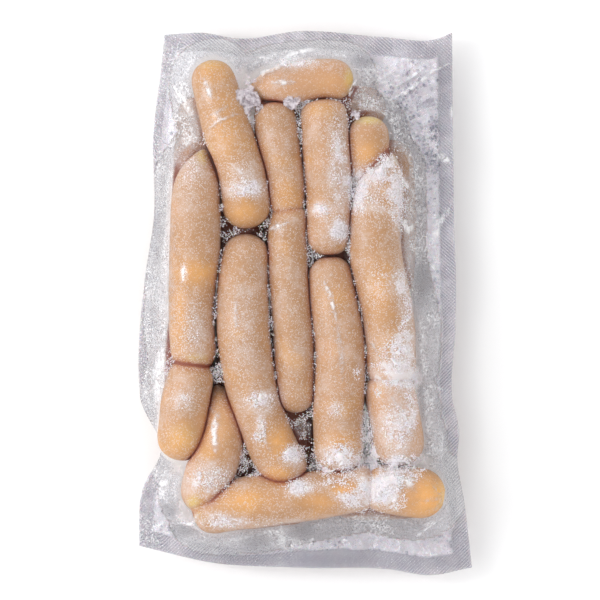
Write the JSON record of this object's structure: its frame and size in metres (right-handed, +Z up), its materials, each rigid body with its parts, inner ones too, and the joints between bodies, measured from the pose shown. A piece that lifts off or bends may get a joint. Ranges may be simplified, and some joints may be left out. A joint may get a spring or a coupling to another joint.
{
  "type": "vacuum pack of sausages",
  "caption": "Clear vacuum-sealed pouch drawn tight over two layers of frozen, frosty sausage links, lying on its back, with flat crinkled film margins all round.",
  "frame": {"origin": "middle of the pack's outline seen from above, on the surface that its back links rest on", "axes": "+X to the right across the pouch, +Y along it towards its top end, +Z up out of the shown side"},
  "size_m": [0.1822, 0.297, 0.0499],
  "materials": {
    "film_over_links": "clear glossy film, wet-looking over pale frosted meat"
  },
  "bodies": {
    "root": {"vacuum_pack": "film_over_links"}
  },
  "joints": []
}
